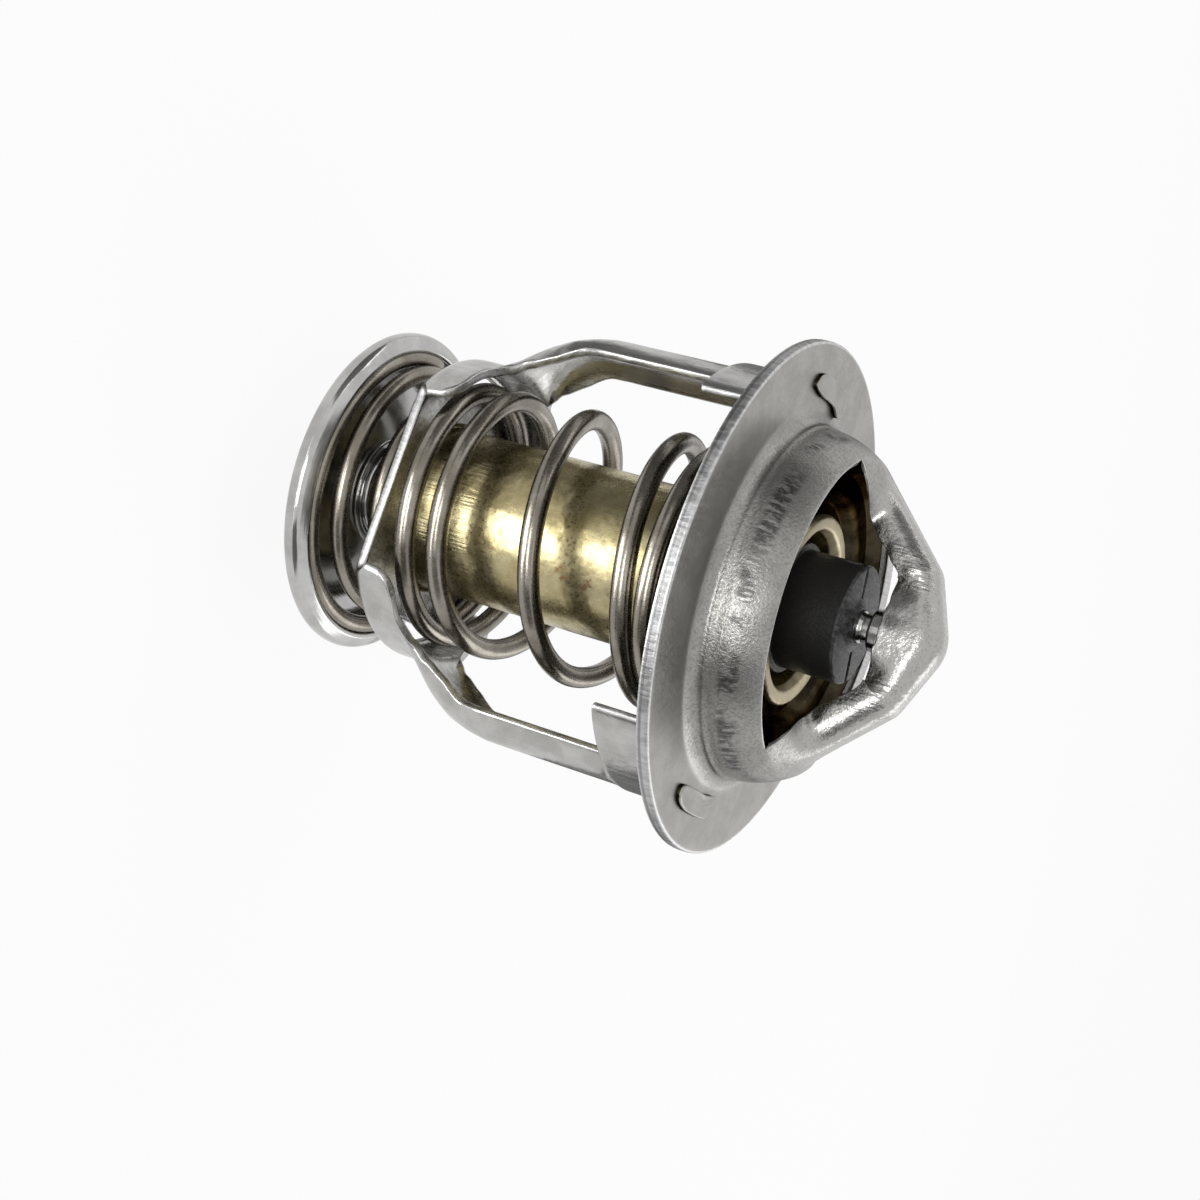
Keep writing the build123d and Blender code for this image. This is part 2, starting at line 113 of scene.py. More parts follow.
# Frame
frame_sheet = 1.1
cup_underside = depth("frame", Z)
cup_radius = 17.5
cup_rim = cup_underside + 5.15
cup_bend = 1.7
cup_chord = 13.0
cup_end_heights = [0.0, 1.7, 3.7, 4.4, 4.9, 5.15]
cup_end_reaches = [13.0, 14.3, 14.1, 13.7, 13.0, 12.0]
cup_root_half = 9.4
capsule_hole = 9.75
segment_start = 13.7
leg_crest = 23.9
gutter_radius = 6.5
leg_half_width = 5.3
leg_shoulder = -25.0
leg_height_shares = [0.0, 0.11, 0.3, 0.53, 0.76, 1.0]
leg_crest_shares = [0.0, 0.3, 0.6, 0.83, 0.94, 1.0]
leg_gutter_shares = [1.35, 1.0, 0.86, 0.9, 1.0]
leg_half_widths = [6.2, 5.9, 5.7, 5.2, 4.8, 5.3]
leg_root_fillet = 2.6
neck_half_width = 2.2
notch_height = 1.4
foot_height = 7.3
foot_angle = 44.0
head_height = reach("frame", Z) - flange_thickness

# Wax element
capsule_radius = 9.35
capsule_wall = 0.9
capsule_bottom = depth("capsule", Z)
lip_radius = reach("capsule", X)
lip_height = reach("capsule", Z)
lip_thickness = 1.1
lip_underside = lip_height - lip_thickness
lip_mouth_radius = 8.9
crimp_height = 1.1
crimp_radius = 0.5
rib_height = cup_underside + 0.15
rib_radius = 0.3
guide_radius = 6.4
guide_step_radius = 7.1
guide_step_top = 4.2
guide_flange_top = 0.6
guide_bottom = depth("guide", Z)
guide_top = 11.1
guide_collar_radius = 2.9
guide_slot_width = 0.65
guide_slot_depth = 0.8
guide_slot_angle = 112.0
pin_radius = reach("pin", X)
pin_tip_radius = 1.6
pin_tip_length = 2.2
bore_radius = pin_radius + 0.05

# Main valve plate
valve_sheet = 0.8
valve_hub_radius = 12.22
valve_seat_inner = 13.0
valve_seat_outer = 15.4
valve_spring_seat = 5.0
valve_radius = reach("main_valve", X)
valve_bend = 0.3

# Springs
element_travel = 9.0
bypass_travel = 2.5
main_wire = 2.35
main_coil_radius = 14.0
main_start_angle = 212.0
main_rises = [0.058, 0.047, 0.045, 0.139, 0.139, 0.132, 0.132, 0.029, 0.029, 0.06, 0.085, 0.105]
bypass_wire = 2.0
bypass_large_radius = 15.9
bypass_small_radius = 10.37
bypass_start_angle = 60.0
bypass_narrowing = [0.0, 0.2, 0.46, 0.8, 1.0]
bypass_rises = [0.27, 0.17, 0.34, 0.22]

# Bypass valve and stem
disc_radius = reach("bypass_valve", X)
disc_sheet = 0.9
disc_underside = depth("bypass_valve", Z)
disc_floor = disc_underside + disc_sheet
disc_rim = disc_floor + 1.8
disc_rim_curl = 0.8
disc_lip_radius = 17.4
disc_bend = 1.1
hub_radius = 6.0
hub_top = disc_floor + 1.9
hub_bend = 0.4
stem_radius = 2.4
stem_foot_radius = 3.4
stem_head_radius = 3.4
stem_flange_height = 0.8
washer_radius = reach("stem_washer", X)


# Materials


def add_node(tree, kind, inputs, **settings):
    """A shader node with its settings, each input set to a value or linked to a socket."""
    node = tree.nodes.new(kind)
    for name, value in settings.items():
        setattr(node, name, value)
    for key, value in inputs.items():
        if isinstance(value, bpy.types.NodeSocket):
            tree.links.new(value, node.inputs[key])
        else:
            node.inputs[key].default_value = value
    return node


class Finish:
    """A material under construction, whose patterns are measured in millimetres on the object."""

    def __init__(self, name, metallic, roughness, colour):
        self.material = bpy.data.materials.new(name)
        self.material.use_nodes = True
        self.tree = self.material.node_tree
        self.shader = self.tree.nodes["Principled BSDF"]
        self.shader.inputs["Metallic"].default_value = metallic
        self.shader.inputs["Roughness"].default_value = roughness
        self.colour = (*colour, 1.0)
        self.relief = None
        metres = self.node("ShaderNodeTexCoord", {}).outputs["Object"]
        inputs = {0: metres, "Scale": 1 / MM}
        self.place = self.node("ShaderNodeVectorMath", inputs, operation="SCALE").outputs[0]
        self.x, self.y, self.z = self.node("ShaderNodeSeparateXYZ", {0: self.place}).outputs
        squares = [self.math("POWER", part, 2) for part in (self.x, self.y)]
        self.radius = self.math("SQRT", self.math("ADD", *squares))

    def node(self, kind, inputs, **settings):
        return add_node(self.tree, kind, inputs, **settings)

    def math(self, operation, first, second=0.0):
        return self.node("ShaderNodeMath", {0: first, 1: second}, operation=operation).outputs[0]

    def product(self, *values):
        """All values multiplied."""
        total = values[0]
        for value in values[1:]:
            total = self.math("MULTIPLY", total, value)
        return total

    def stretched(self, factors, place=None):
        """The place, with each axis scaled by its own factor."""
        inputs = {0: place or self.place, 1: factors}
        return self.node("ShaderNodeVectorMath", inputs, operation="MULTIPLY").outputs[0]

    def polar(self):
        """Place as arc length round Z at a radius of one centimetre, radius and height."""
        arc = self.product(self.math("ARCTAN2", self.y, self.x), 10.0)
        return self.node("ShaderNodeCombineXYZ", {0: arc, 1: self.radius, 2: self.z}).outputs[0]

    def noise(self, scale, detail=3.0, roughness=0.55, place=None, distortion=0.0):
        inputs = {"Vector": place or self.place, "Scale": scale, "Detail": detail}
        inputs.update({"Roughness": roughness, "Distortion": distortion})
        return self.node("ShaderNodeTexNoise", inputs).outputs["Fac"]

    def ramp(self, value, start, end, low=0.0, high=1.0):
        """Value from start to end, mapped smoothly to low to high."""
        inputs = {"Value": value, "From Min": start, "From Max": end, "To Min": low, "To Max": high}
        return self.node("ShaderNodeMapRange", inputs, interpolation_type="SMOOTHSTEP").outputs["Result"]

    def band(self, value, start, end, blur):
        """1 between start and end, falling to 0 over blur."""
        rise = self.ramp(value, start - blur, start)
        return self.product(rise, self.ramp(value, end, end + blur, 1.0, 0.0))

    def spot(self, centre, radius, blur):
        """1 round a centre, falling to 0 over blur."""
        inputs = {0: self.place, 1: centre}
        distance = self.node("ShaderNodeVectorMath", inputs, operation="DISTANCE").outputs["Value"]
        return self.ramp(distance, radius, radius + blur, 1.0, 0.0)

    def paint(self, colour, *shares):
        """Lays a colour over the last one, by the product of the shares."""
        inputs = {"Factor": self.product(*shares), "A": self.colour, "B": (*colour, 1.0)}
        self.colour = self.node("ShaderNodeMix", inputs, data_type="RGBA").outputs["Result"]

    def mottle(self, pattern, colour):
        """Lays a colour over the last one where a noise pattern is high."""
        self.paint(colour, self.ramp(pattern, 0.35, 0.65))

    def gloss(self, pattern, smooth, rough):
        """Roughness from smooth to rough, following a noise pattern."""
        return self.ramp(pattern, 0.3, 0.7, smooth, rough)

    def press(self, height, distance):
        """Lays a relief whose full height is distance over the last one."""
        inputs = {"Distance": distance * MM, "Height": height}
        if self.relief is not None:
            inputs["Normal"] = self.relief
        self.relief = self.node("ShaderNodeBump", inputs).outputs["Normal"]

    def close(self, roughness):
        """The finished material."""
        looks = {"Base Color": self.colour, "Roughness": roughness, "Normal": self.relief}
        for name, value in looks.items():
            self.tree.links.new(value, self.shader.inputs[name])
        return self.material


def pressed_steel():
    """Flange, grainy dome and smoother bridge."""
    finish = Finish("pressed_steel", 1.0, 0.4, (0.275, 0.268, 0.254))
    on_dome = finish.ramp(finish.radius, root_radius + 0.2, root_radius - 0.8)
    on_bridge = finish.ramp(finish.z, rim_height + 0.6, rim_height + 3.0)
    on_wall = finish.product(on_dome, finish.math("SUBTRACT", 1.0, on_bridge))
    grain = finish.noise(3.2, 3.0, 0.6)
    finish.mottle(finish.noise(0.35, 4.0, 0.55), (0.33, 0.322, 0.306))
    # Galled streak round the dome's wall, in short dashes along the axis
    dashes = finish.noise(1.0, 4.0, 0.6, finish.stretched((3.4, 0.0, 0.55), finish.polar()))
    patches = finish.ramp(finish.noise(0.22, 2.0), 0.46, 0.58)
    patches = finish.math("MAXIMUM", patches, finish.spot((17.2, -6.5, 5.3), 3.0, 4.0))
    streak_band = finish.band(finish.z, 4.7, 5.8, 0.8)
    finish.paint((0.05, 0.05, 0.05), streak_band, patches, finish.ramp(dashes, 0.42, 0.54), on_wall, 0.85)
    # The bridge is rubbed bright, with small dark pits near its knees
    finish.paint((0.46, 0.455, 0.44), on_bridge, 0.6)
    grainy = finish.math("MAXIMUM", on_wall, finish.product(on_bridge, 0.6))
    finish.paint((0.16, 0.158, 0.15), grainy, finish.ramp(grain, 0.48, 0.62), 0.45)
    finish.paint((0.11, 0.11, 0.11), finish.spot((3.4, -0.9, 15.5), 0.5, 0.7), 0.7)
    on_knee = finish.band(finish.math("ABSOLUTE", finish.y), knee_place - 2.2, knee_place + 0.6, 1.4)
    on_knee = finish.product(on_knee, on_bridge)
    finish.paint((0.06, 0.055, 0.05), on_knee, finish.ramp(finish.noise(1.3, 3.0, 0.6), 0.66, 0.72), 0.7)
    finish.press(finish.product(grain, finish.math("ADD", finish.product(grainy, 0.85), 0.15)), 0.06)
    finish.press(finish.product(finish.noise(0.5, 2.0), on_bridge), 0.1)
    wrinkles = finish.noise(1.0, 2.0, 0.5, finish.stretched((0.6, 2.4, 0.35)))
    finish.press(finish.product(wrinkles, on_knee), 0.12)
    return finish.close(finish.math("ADD", finish.gloss(grain, 0.28, 0.4), finish.product(on_bridge, -0.1)))


def cut_edge():
    """Sheared edges of the pressed sheets, with fine lines across the thickness."""
    finish = Finish("cut_edge", 1.0, 0.45, (0.42, 0.42, 0.42))
    lines = finish.noise(1.0, 3.0, 0.6, finish.stretched((7.0, 1.0, 0.6), finish.polar()))
    finish.mottle(lines, (0.58, 0.58, 0.57))
    finish.paint((0.16, 0.16, 0.16), finish.band(finish.z, 0.35, 0.55, 0.12), 0.6)
    finish.press(lines, 0.06)
    return finish.close(finish.gloss(lines, 0.34, 0.5))


def frame_steel():
    """Bright rolled sheet of the frame."""
    finish = Finish("frame_steel", 1.0, 0.22, (0.4, 0.395, 0.38))
    rolled = finish.noise(1.0, 4.0, 0.6, finish.stretched((1.2, 1.2, 0.1)))
    finish.mottle(finish.noise(0.3, 3.0, 0.55), (0.5, 0.495, 0.48))
    finish.press(rolled, 0.02)
    finish.press(finish.noise(0.5, 2.0), 0.07)
    return finish.close(finish.gloss(rolled, 0.22, 0.34))


def spring_steel():
    """Brown-grey drawn wire."""
    finish = Finish("spring_steel", 1.0, 0.22, (0.19, 0.17, 0.142))
    grain = finish.noise(2.6, 3.0, 0.6)
    finish.mottle(finish.noise(0.2, 3.0, 0.55), (0.29, 0.268, 0.232))
    finish.paint((0.1, 0.085, 0.068), finish.ramp(grain, 0.62, 0.78), 0.35)
    finish.press(grain, 0.01)
    return finish.close(finish.gloss(grain, 0.2, 0.3))


def capsule_brass():
    """Olive brass with brown stains and axial scratches, and a paler lip."""
    finish = Finish("capsule_brass", 1.0, 0.3, (0.38, 0.32, 0.165))
    grain = finish.noise(2.6, 5.0, 0.65)
    finish.mottle(finish.noise(0.3, 5.0, 0.65), (0.47, 0.415, 0.245))
    stain = 0.0
    for place, share in (((8.2, 4.6, -16.3), 0.34), ((8.3, 4.2, -18.9), 0.3), ((8.7, 3.4, -28.0), 0.22)):
        stain = finish.math("MAXIMUM", stain, finish.product(finish.spot(place, 0.5, 1.6), share))
    brown = finish.noise(0.8, 5.0, 0.7, None, 0.6)
    stain = finish.ramp(finish.math("ADD", stain, brown), 0.74, 0.88)
    finish.paint((0.19, 0.1, 0.04), stain, 0.8)
    finish.paint((0.17, 0.12, 0.05), finish.ramp(finish.noise(1.1, 4.0, 0.65), 0.64, 0.76), 0.3)
    on_lip = finish.ramp(finish.z, lip_underside - 0.2, lip_underside)
    finish.paint((0.5, 0.44, 0.31), on_lip, 0.8)
    scratches = finish.noise(1.0, 2.0, 0.5, finish.stretched((3.2, 1.0, 0.22), finish.polar()))
    scored = finish.product(finish.band(finish.z, -37.0, -31.5, 1.2), 0.9)
    finish.press(grain, 0.01)
    finish.press(finish.noise(0.28, 2.0), 0.22)
    finish.press(finish.product(scratches, finish.math("ADD", scored, 0.1)), 0.1)
    roughness = finish.math("ADD", finish.gloss(grain, 0.24, 0.36), finish.product(stain, 0.2))
    return finish.close(finish.math("ADD", roughness, finish.product(on_lip, 0.12)))


def painted_shade_steel():
    """Dark brown plate of the main valve, its near-black level painted shade for the dark it reflects; also
    the staked heads' sides, painted dark as a shadow groove.
    """
    finish = Finish("painted_shade_steel", 1.0, 0.35, (0.02, 0.016, 0.01))
    finish.shader.inputs["Specular Tint"].default_value = (0.25, 0.21, 0.15, 1.0)
    grain = finish.noise(2.5, 4.0, 0.6)
    finish.mottle(finish.noise(0.4, 4.0, 0.6), (0.05, 0.04, 0.026))
    finish.press(grain, 0.03)
    return finish.close(finish.gloss(grain, 0.28, 0.42))


def polished_steel():
    """Mirror-like disc, pin and stem, with faint smudges."""
    finish = Finish("polished_steel", 1.0, 0.12, (0.4, 0.395, 0.385))
    smudge = finish.noise(0.25, 4.0, 0.6)
    finish.mottle(smudge, (0.5, 0.495, 0.485))
    finish.press(finish.noise(1.0, 3.0, 0.6, finish.stretched((0.25, 4.0, 4.0), finish.polar())), 0.01)
    return finish.close(finish.gloss(smudge, 0.1, 0.18))


def black_plastic():
    """Moulded guide, with a scuffed face."""
    finish = Finish("black_plastic", 0.0, 0.4, (0.014, 0.0135, 0.013))
    finish.shader.inputs["Specular IOR Level"].default_value = 0.3
    on_face = finish.ramp(finish.z, guide_top - 0.35, guide_top - 0.05)
    scuffs = finish.noise(1.0, 5.0, 0.7, finish.stretched((0.5, 2.2, 1.0)))
    grain = finish.noise(4.0, 4.0, 0.6)
    finish.paint((0.075, 0.075, 0.078), on_face, finish.ramp(scuffs, 0.4, 0.66))
    finish.press(grain, 0.02)
    finish.press(scuffs, 0.08)
    return finish.close(finish.gloss(grain, 0.32, 0.5))


def soft_matter(name, dark, light, roughness):
    """Rubber, plastic or wax inside the capsule."""
    finish = Finish(name, 0.0, roughness, dark)
    cloud = finish.noise(0.8, 4.0, 0.6)
    finish.mottle(cloud, light)
    finish.press(cloud, 0.05)
    return finish.close(finish.gloss(cloud, roughness - 0.08, roughness + 0.08))


steel_pressed = pressed_steel()
steel_edge = cut_edge()
steel_frame = frame_steel()
steel_wire = spring_steel()
brass = capsule_brass()
# Near-black steel: painted shade on the valve plate and painted shadow on the heads' sides
steel_painted_shade = painted_shade_steel()
steel_polished = polished_steel()
plastic_black = black_plastic()
inner_finishes = {
    "rubber_sleeve": soft_matter("black_rubber", (0.012, 0.012, 0.012), (0.03, 0.03, 0.03), 0.6),
    "backup_ring": soft_matter("white_plastic", (0.6, 0.59, 0.56), (0.72, 0.71, 0.68), 0.4),
    "wax": soft_matter("wax_charge", (0.5, 0.38, 0.2), (0.62, 0.5, 0.3), 0.5),
}
for node, material in inner_finishes.items():
    frame["nodes"][node].data.materials.clear()
    frame["nodes"][node].data.materials.append(material)


# Mesh helpers


def add_piece(name, points, faces, materials):
    """A smooth-shaded mesh object from points in millimetres, in any grid."""
    mesh = bpy.data.meshes.new(name)
    mesh.from_pydata((np.reshape(points, (-1, 3)) * MM).tolist(), [], faces)
    mesh.shade_smooth()
    for material in materials:
        mesh.materials.append(material)
    piece = bpy.data.objects.new(name, mesh)
    bpy.context.scene.collection.objects.link(piece)
    return piece


def stands_for(piece, node, body):
    """Makes a piece ride on a body in place of a CAD node."""
    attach(piece, body)
    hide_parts(node)


def apply_modifiers(piece):
    """Leaves the piece with its modified mesh and no modifiers."""
    graph = bpy.context.evaluated_depsgraph_get()
    mesh = bpy.data.meshes.new_from_object(piece.evaluated_get(graph), depsgraph=graph)
    piece.modifiers.clear()
    piece.data = mesh


def grid_faces(rows, columns, closed=False, first=0):
    """Quads of a grid of points, closed across its columns or open."""
    faces = []
    for row in range(rows - 1):
        for column in range(columns if closed else columns - 1):
            right = (column + 1) % columns
            here = first + row * columns
            faces.append((here + column, here + right, here + columns + right, here + columns + column))
    return faces


def join_grids(grids):
    """Points, faces and each face's material number, from (rows x columns x 3 points, closed, material)."""
    points, faces, numbers = [], [], []
    for grid, closed, number in grids:
        rows, columns, _ = grid.shape
        new_faces = grid_faces(rows, columns, closed, len(points))
        faces += new_faces
        numbers += [number] * len(new_faces)
        points += grid.reshape(-1, 3).tolist()
    return points, faces, numbers


def close_seams(piece, distance=0.002):
    """Joins points that lie on each other and turns every face outwards."""
    work = bmesh.new()
    work.from_mesh(piece.data)
    bmesh.ops.remove_doubles(work, verts=work.verts, dist=distance * MM)
    bmesh.ops.recalc_face_normals(work, faces=work.faces)
    work.to_mesh(piece.data)
    work.free()


def subdivided(piece):
    """Smooths the piece once, with its modifiers applied."""
    smooth = piece.modifiers.new("smooth", "SUBSURF")
    smooth.levels = 1
    smooth.render_levels = 1
    apply_modifiers(piece)


def unit(vectors):
    """The vectors, each at a length of one."""
    return vectors / np.linalg.norm(vectors, axis=-1, keepdims=True)


def on_turn(radius, angle, height):
    """Points at a radius, an angle round Z and a height, from numbers or grids of them."""
    return np.stack(np.broadcast_arrays(radius * np.cos(angle), radius * np.sin(angle), height), axis=-1)


def bridged(first, last):
    """A strip of sheet edge between two lines of points, with a narrow band along each."""
    shares = np.array([0.0, 0.14, 0.86, 1.0])[:, None, None]
    return first[None] * (1 - shares) + last[None] * shares


def rounded(corners, radii, closed=True, steps=6):
    """An outline through (radius, height) corners, with an arc of its own radius at each."""
    corners = [np.array(corner, float) for corner in corners]
    points = []
    for number, corner in enumerate(corners):
        at_end = not closed and number in (0, len(corners) - 1)
        if radii[number] == 0 or at_end:
            points.append(corner)
            continue
        before = unit(corners[number - 1] - corner)
        after = unit(corners[(number + 1) % len(corners)] - corner)
        half = acos(np.clip(before @ after, -1, 1)) / 2
        centre = corner + unit(before + after) * radii[number] / sin(half)
        start = corner + before * radii[number] / tan(half) - centre
        end = corner + after * radii[number] / tan(half) - centre
        turn = pi - 2 * half
        for step in range(steps + 1):
            share = step / steps
            points.append(centre + (start * sin((1 - share) * turn) + end * sin(share * turn)) / sin(turn))
    return np.array(points)


def arc_through(first, middle, last, count, inset=0.0):
    """Points on the arc from first through middle to last, moved towards its centre by inset."""
    first, middle, last = (np.array(point, float) for point in (first, middle, last))
    sides = 2 * np.array([middle - first, last - first])
    centre = np.linalg.solve(sides, [middle @ middle - first @ first, last @ last - first @ first])
    angles = [np.arctan2(*(point - centre)[::-1]) for point in (first, middle, last)]
    turns = np.interp(np.linspace(0, 2, count), [0, 1, 2], np.unwrap(angles))
    radius = np.linalg.norm(first - centre) - inset
    return centre + radius * np.stack([np.cos(turns), np.sin(turns)], axis=1)


def sheet_outline(path, thickness, steps=6):
    """Closed outline of a sheet whose right-hand face follows path, with round edges."""
    along = unit(np.gradient(path, axis=0))
    across = np.stack([-along[:, 1], along[:, 0]], axis=1)
    far_side = path + across * thickness
    middle = (path + far_side) / 2
    turns = np.linspace(0, pi, steps + 1)[1:-1, None]
    half = thickness / 2
    end_cap = middle[-1] - across[-1] * half * np.cos(turns) + along[-1] * half * np.sin(turns)
    start_cap = middle[0] + across[0] * half * np.cos(turns) - along[0] * half * np.sin(turns)
    return np.concatenate([path, end_cap, far_side[::-1], start_cap])


def lathe(name, outline, material, segments=224):
    """Turns a closed (radius, height) outline about Z."""
    outline = np.asarray(outline, float)
    outline[:, 0] = np.maximum(outline[:, 0], 0.001)
    loop = np.concatenate([outline, outline[:1]])
    points = on_turn(loop[:, :1], np.linspace(0, 2 * pi, segments, endpoint=False), loop[:, 1:])
    piece = add_piece(name, points, grid_faces(len(loop), segments, closed=True), [material])
    close_seams(piece, 0.005)
    weighted = piece.modifiers.new("even_shading", "WEIGHTED_NORMAL")
    weighted.weight = 100
    apply_modifiers(piece)
    return piece


def eased(values, window):
    """Values with their corners rounded over a window of neighbours."""
    padded = np.pad(values, window, mode="edge")
    kernel = np.hanning(2 * window + 3)[1:-1]
    return np.convolve(padded, kernel / kernel.sum(), mode="valid")


def coil(name, angles, radii, heights, wire, material, sides=24, step=3.0, blur=45.0):
    """A round wire through stations given by angle, coil radius and height."""
    turns = np.arange(angles[0], angles[-1] + step / 2, step)
    window = round(blur / step)
    radius = eased(np.interp(turns, angles, radii), window)
    height = eased(np.interp(turns, angles, heights), window)
    line = on_turn(radius, np.radians(turns), height)
    along = unit(np.gradient(line, axis=0))
    outward = on_turn(1.0, np.radians(turns), 0.0)
    outward = unit(outward - along * (outward * along).sum(axis=1)[:, None])
    side = np.cross(along, outward)
    # The ends are cut square, with a small chamfer
    shares = np.concatenate([[0.0, 0.88], np.ones(len(turns) - 2), [0.88, 0.0]])
    stations = np.concatenate([[0], np.arange(len(turns)), [len(turns) - 1]])
    round_angles = np.linspace(0, 2 * pi, sides, endpoint=False)[None, :, None]
    across, upright = outward[stations][:, None], side[stations][:, None]
    ring = np.cos(round_angles) * across + np.sin(round_angles) * upright
    points = line[stations][:, None] + (shares * wire / 2)[:, None, None] * ring
    piece = add_piece(name, points, grid_faces(len(stations), sides, closed=True), [material])
    close_seams(piece)
    piece.data.set_sharp_from_angle(angle=radians(50))
    return piece


# Valve body: one sheet for flange, dome and bridge


def ring_section():
    """Section of flange and dome: from the dome's rim down outside, round the flange and up inside."""
    middle_height = (shoulder_height + rim_height) / 2
    shoulder = (shoulder_radius, shoulder_height)
    wall = [(rim_radius, rim_height), (dome_middle_radius, middle_height), shoulder]
    outer_wall = arc_through(*wall, 14)
    inner_wall = arc_through(*wall, 14, sheet)[::-1]
    chord = np.array([root_radius - shoulder_radius, flange_thickness - shoulder_height])
    sag = root_fillet - sqrt(root_fillet**2 - (chord @ chord) / 4)
    hollow = unit(np.array([chord[1], -chord[0]])) * sag
    root = arc_through(shoulder, shoulder + chord / 2 + hollow, (root_radius, flange_thickness), 7)
    inner_root = root[::-1] + (inner_wall[0] - root[0]) * np.linspace(0, 1, 7)[:, None]
    inner_root += np.array([-sheet, -flange_thickness]) * np.linspace(1, 0, 7)[:, None]
    # A fine ridge where the wall meets the root
    ridge = np.array(shoulder) + [(0.13, 0.14), (0.16, -0.02)]
    rings = np.linspace(root_radius + 1, flange_radius - 1, 7)
    edge = 0.22
    top = [(radius, flange_thickness) for radius in [*rings, flange_radius - edge]]
    side = [
        (flange_radius - edge / 3, flange_thickness - edge / 3),
        (flange_radius, flange_thickness - edge),
        (flange_radius, edge),
        (flange_radius - edge / 3, edge / 3),
    ]
    bottom = [(radius, 0.0) for radius in [flange_radius - edge, *rings[::-1]]]
    outside = np.concatenate([outer_wall[:-1], ridge, root[1:], top])
    inside = np.concatenate([bottom, inner_root, inner_wall[1:]])
    return outside, np.array(side), inside


def channel_section(spread, half_width, fold, reach_down):
    """Width and depth across a channel with a rounded back, for a spread from -1 to 1."""
    back = half_width - fold
    bend = fold * pi / 2
    run = np.abs(spread) * (back + bend + reach_down - fold)
    turn = np.clip((run - back) / fold, 0, pi / 2)
    width = np.minimum(run, back) + fold * np.sin(turn)
    drop = fold * (1 - np.cos(turn)) + np.maximum(run - back - bend, 0)
    return np.sign(spread) * width, drop


def creases(along, across):
    """Irregular folds, as a sum of slanted ridges, between -1 and 1."""
    total = np.zeros_like(along)
    ridges = [(2.6, 25.0, 0.1), (3.9, -35.0, 0.45), (1.7, 70.0, 0.7), (5.3, 8.0, 0.25)]
    for length, slant, offset in ridges:
        run = (along * cos(radians(slant)) + across * sin(radians(slant))) / length + offset
        total += np.abs(2 * (run % 1) - 1) - 0.5
    return total / 2


def bridge_line(rows):
    """Side view of the bridge's back from rim to rim, its run, and the way into the channel."""
    slope = tan(radians(arm_slope))
    peak_tan = tan(radians(peak_slope))
    peak = bridge_height + peak_radius * (1 / cos(radians(peak_slope)) - 1)
    knee = (rim_height + rim_radius * slope - peak) / (slope - peak_tan)
    corners = [(rim_radius, rim_height), (knee, peak - knee * peak_tan), (0, peak)]
    corners += [(-knee, peak - knee * peak_tan), (-rim_radius, rim_height)]
    line = rounded(corners, [0, knee_radius, peak_radius, knee_radius, 0], closed=False, steps=16)
    lengths = np.concatenate([[0], np.cumsum(np.linalg.norm(np.diff(line, axis=0), axis=1))])
    run = np.linspace(0, lengths[-1], rows)
    line = np.stack([np.interp(run, lengths, line[:, 0]), np.interp(run, lengths, line[:, 1])], axis=1)
    along = unit(np.gradient(line, axis=0))
    return line, run, np.stack([-along[:, 1], along[:, 0]], axis=1)


def bridge_grid(spread, rows, inset, root_reach):
    """One face of the bridge's channel, inset into the sheet, that ends on a circle of root_reach."""
    line, run, down = bridge_line(rows)
    folded = np.clip(np.minimum(run, run[-1] - run) / arm_fold_length, 0, 1)
    folded = folded * folded * (3 - 2 * folded)
    inward = np.stack([-np.sign(line[:, 0]), np.zeros(rows)], axis=1)
    # Near the peak the sides hang straight down, so that they don't cross
    down[:, 0] *= np.clip(np.abs(line[:, 0]) / arm_spread, 0, 1)
    down = unit(inward * (1 - folded)[:, None] + down * folded[:, None])
    reach_down = np.maximum(arm_depth, (line[:, 1] - eaves_height) / np.maximum(-down[:, 1], 0.3))
    reach_down = np.where(folded < 1, arm_depth, reach_down)
    turn = spread * asin(arm_root_width / 2 / rim_radius)
    root_width = root_reach * np.sin(turn)
    root_drop = rim_radius - root_reach * np.cos(turn)
    side = np.clip((np.abs(spread) - 0.35) / 0.65, 0, 1)
    grid = np.zeros((rows, len(spread), 3))
    for row in range(rows):
        half_width, fold = arm_half_width - inset, back_fold_radius - inset
        width, drop = channel_section(spread, half_width, fold, reach_down[row] - inset)
        place = abs(line[row, 0])
        # The arms' sides are tucked in below a crisp line
        on_arm = np.clip((place - tuck_start) / tuck_run, 0, 1)
        width -= np.sign(spread) * on_arm * tuck_slope * np.maximum(drop + inset - tuck_depth, 0)
        width = width * folded[row] + root_width * (1 - folded[row])
        drop = (drop + inset) * folded[row] + root_drop * (1 - folded[row])
        # The sides belly out round the socket and are pinched beside it
        swell = np.exp(-((place / swell_width) ** 2))
        swell -= np.exp(-(((place - pinch_place) / pinch_width) ** 2))
        width += np.sign(spread) * side * pinch_depth * swell
        crumple = creases(np.full(len(spread), run[row]), spread * 6 + np.sign(spread) * 3)
        width += np.sign(spread) * side * folded[row] * crumple_depth * crumple
        drop += side * folded[row] * crumple_depth * crumple * 4
        grid[row, :, 0] = width
        grid[row, :, 1] = line[row, 0] + down[row, 0] * drop
        grid[row, :, 2] = line[row, 1] + down[row, 1] * drop
    return grid


